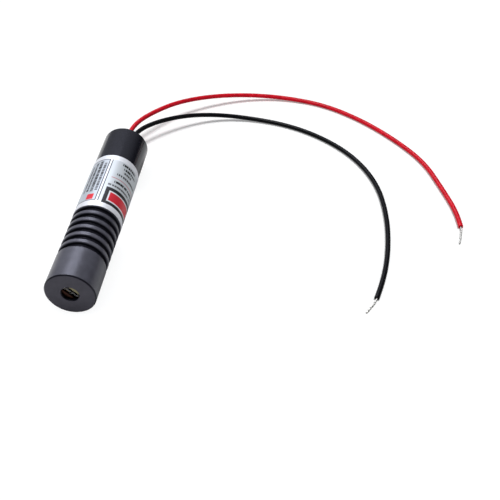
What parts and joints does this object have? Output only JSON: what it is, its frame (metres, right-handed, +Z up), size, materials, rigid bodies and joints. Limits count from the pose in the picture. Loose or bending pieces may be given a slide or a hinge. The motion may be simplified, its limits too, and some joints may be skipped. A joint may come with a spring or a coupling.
{
  "type": "laser diode module",
  "caption": "Black anodised laser line module: grooved round barrel with a glass line lens behind the front aperture, a silver wrap label and a red and a black lead.",
  "frame": {"origin": "on the floor, under the middle of the barrel as it lies on its side", "axes": "+Z up, +Y along the barrel towards the rear, where the leads leave; the beam leaves towards -Y"},
  "size_m": [0.1293, 0.1271, 0.0161],
  "materials": {
    "black_anodised": "satin black anodising over fine turning marks",
    "foil": "silver polyester film, satin",
    "dulled_brass": "turned brass, darkened",
    "brass": "turned brass",
    "glass": "polished optical glass",
    "spring_steel": "drawn steel wire",
    "nickel": "nickel-plated drawn steel",
    "gilt": "gold-plated",
    "board": "green solder mask",
    "sleeve_film": "dark polyester film",
    "chip_plastic": "moulded black epoxy",
    "resistor_body": "black glaze over ceramic",
    "tantalum_body": "moulded yellow epoxy",
    "ceramic_body": "tan ceramic",
    "solder": "bright solder",
    "red_insulation": "soft gloss PVC",
    "black_insulation": "soft gloss PVC",
    "tinned_copper": "twisted strands, tinned"
  },
  "bodies": {
    "root": {"barrel": "black_anodised", "front_cap": "black_anodised", "rear_plug": "black_anodised", "label": "foil", "line_lens_cell": "dulled_brass", "lens_barrel": "brass", "lens_retainer": "brass", "diode_holder": "brass", "diode_press_ring": "brass", "line_lens": "glass", "collimating_lens": "glass", "diode_window": "glass", "lens_spring": "spring_steel", "diode_can": "nickel", "diode_stem": "gilt", "diode_pins": "gilt", "driver_board": "board", "insulating_sleeve": "sleeve_film", "driver_chip": "chip_plastic", "pass_transistor": "chip_plastic", "polarity_diode": "chip_plastic", "chip_resistors": "resistor_body", "tantalum_capacitor": "tantalum_body", "chip_capacitors": "ceramic_body", "pin_solder_joints": "solder", "lead_solder_joints": "solder", "red_lead": "red_insulation", "black_lead": "black_insulation", "red_lead_end": "tinned_copper", "black_lead_end": "tinned_copper"}
  },
  "joints": []
}
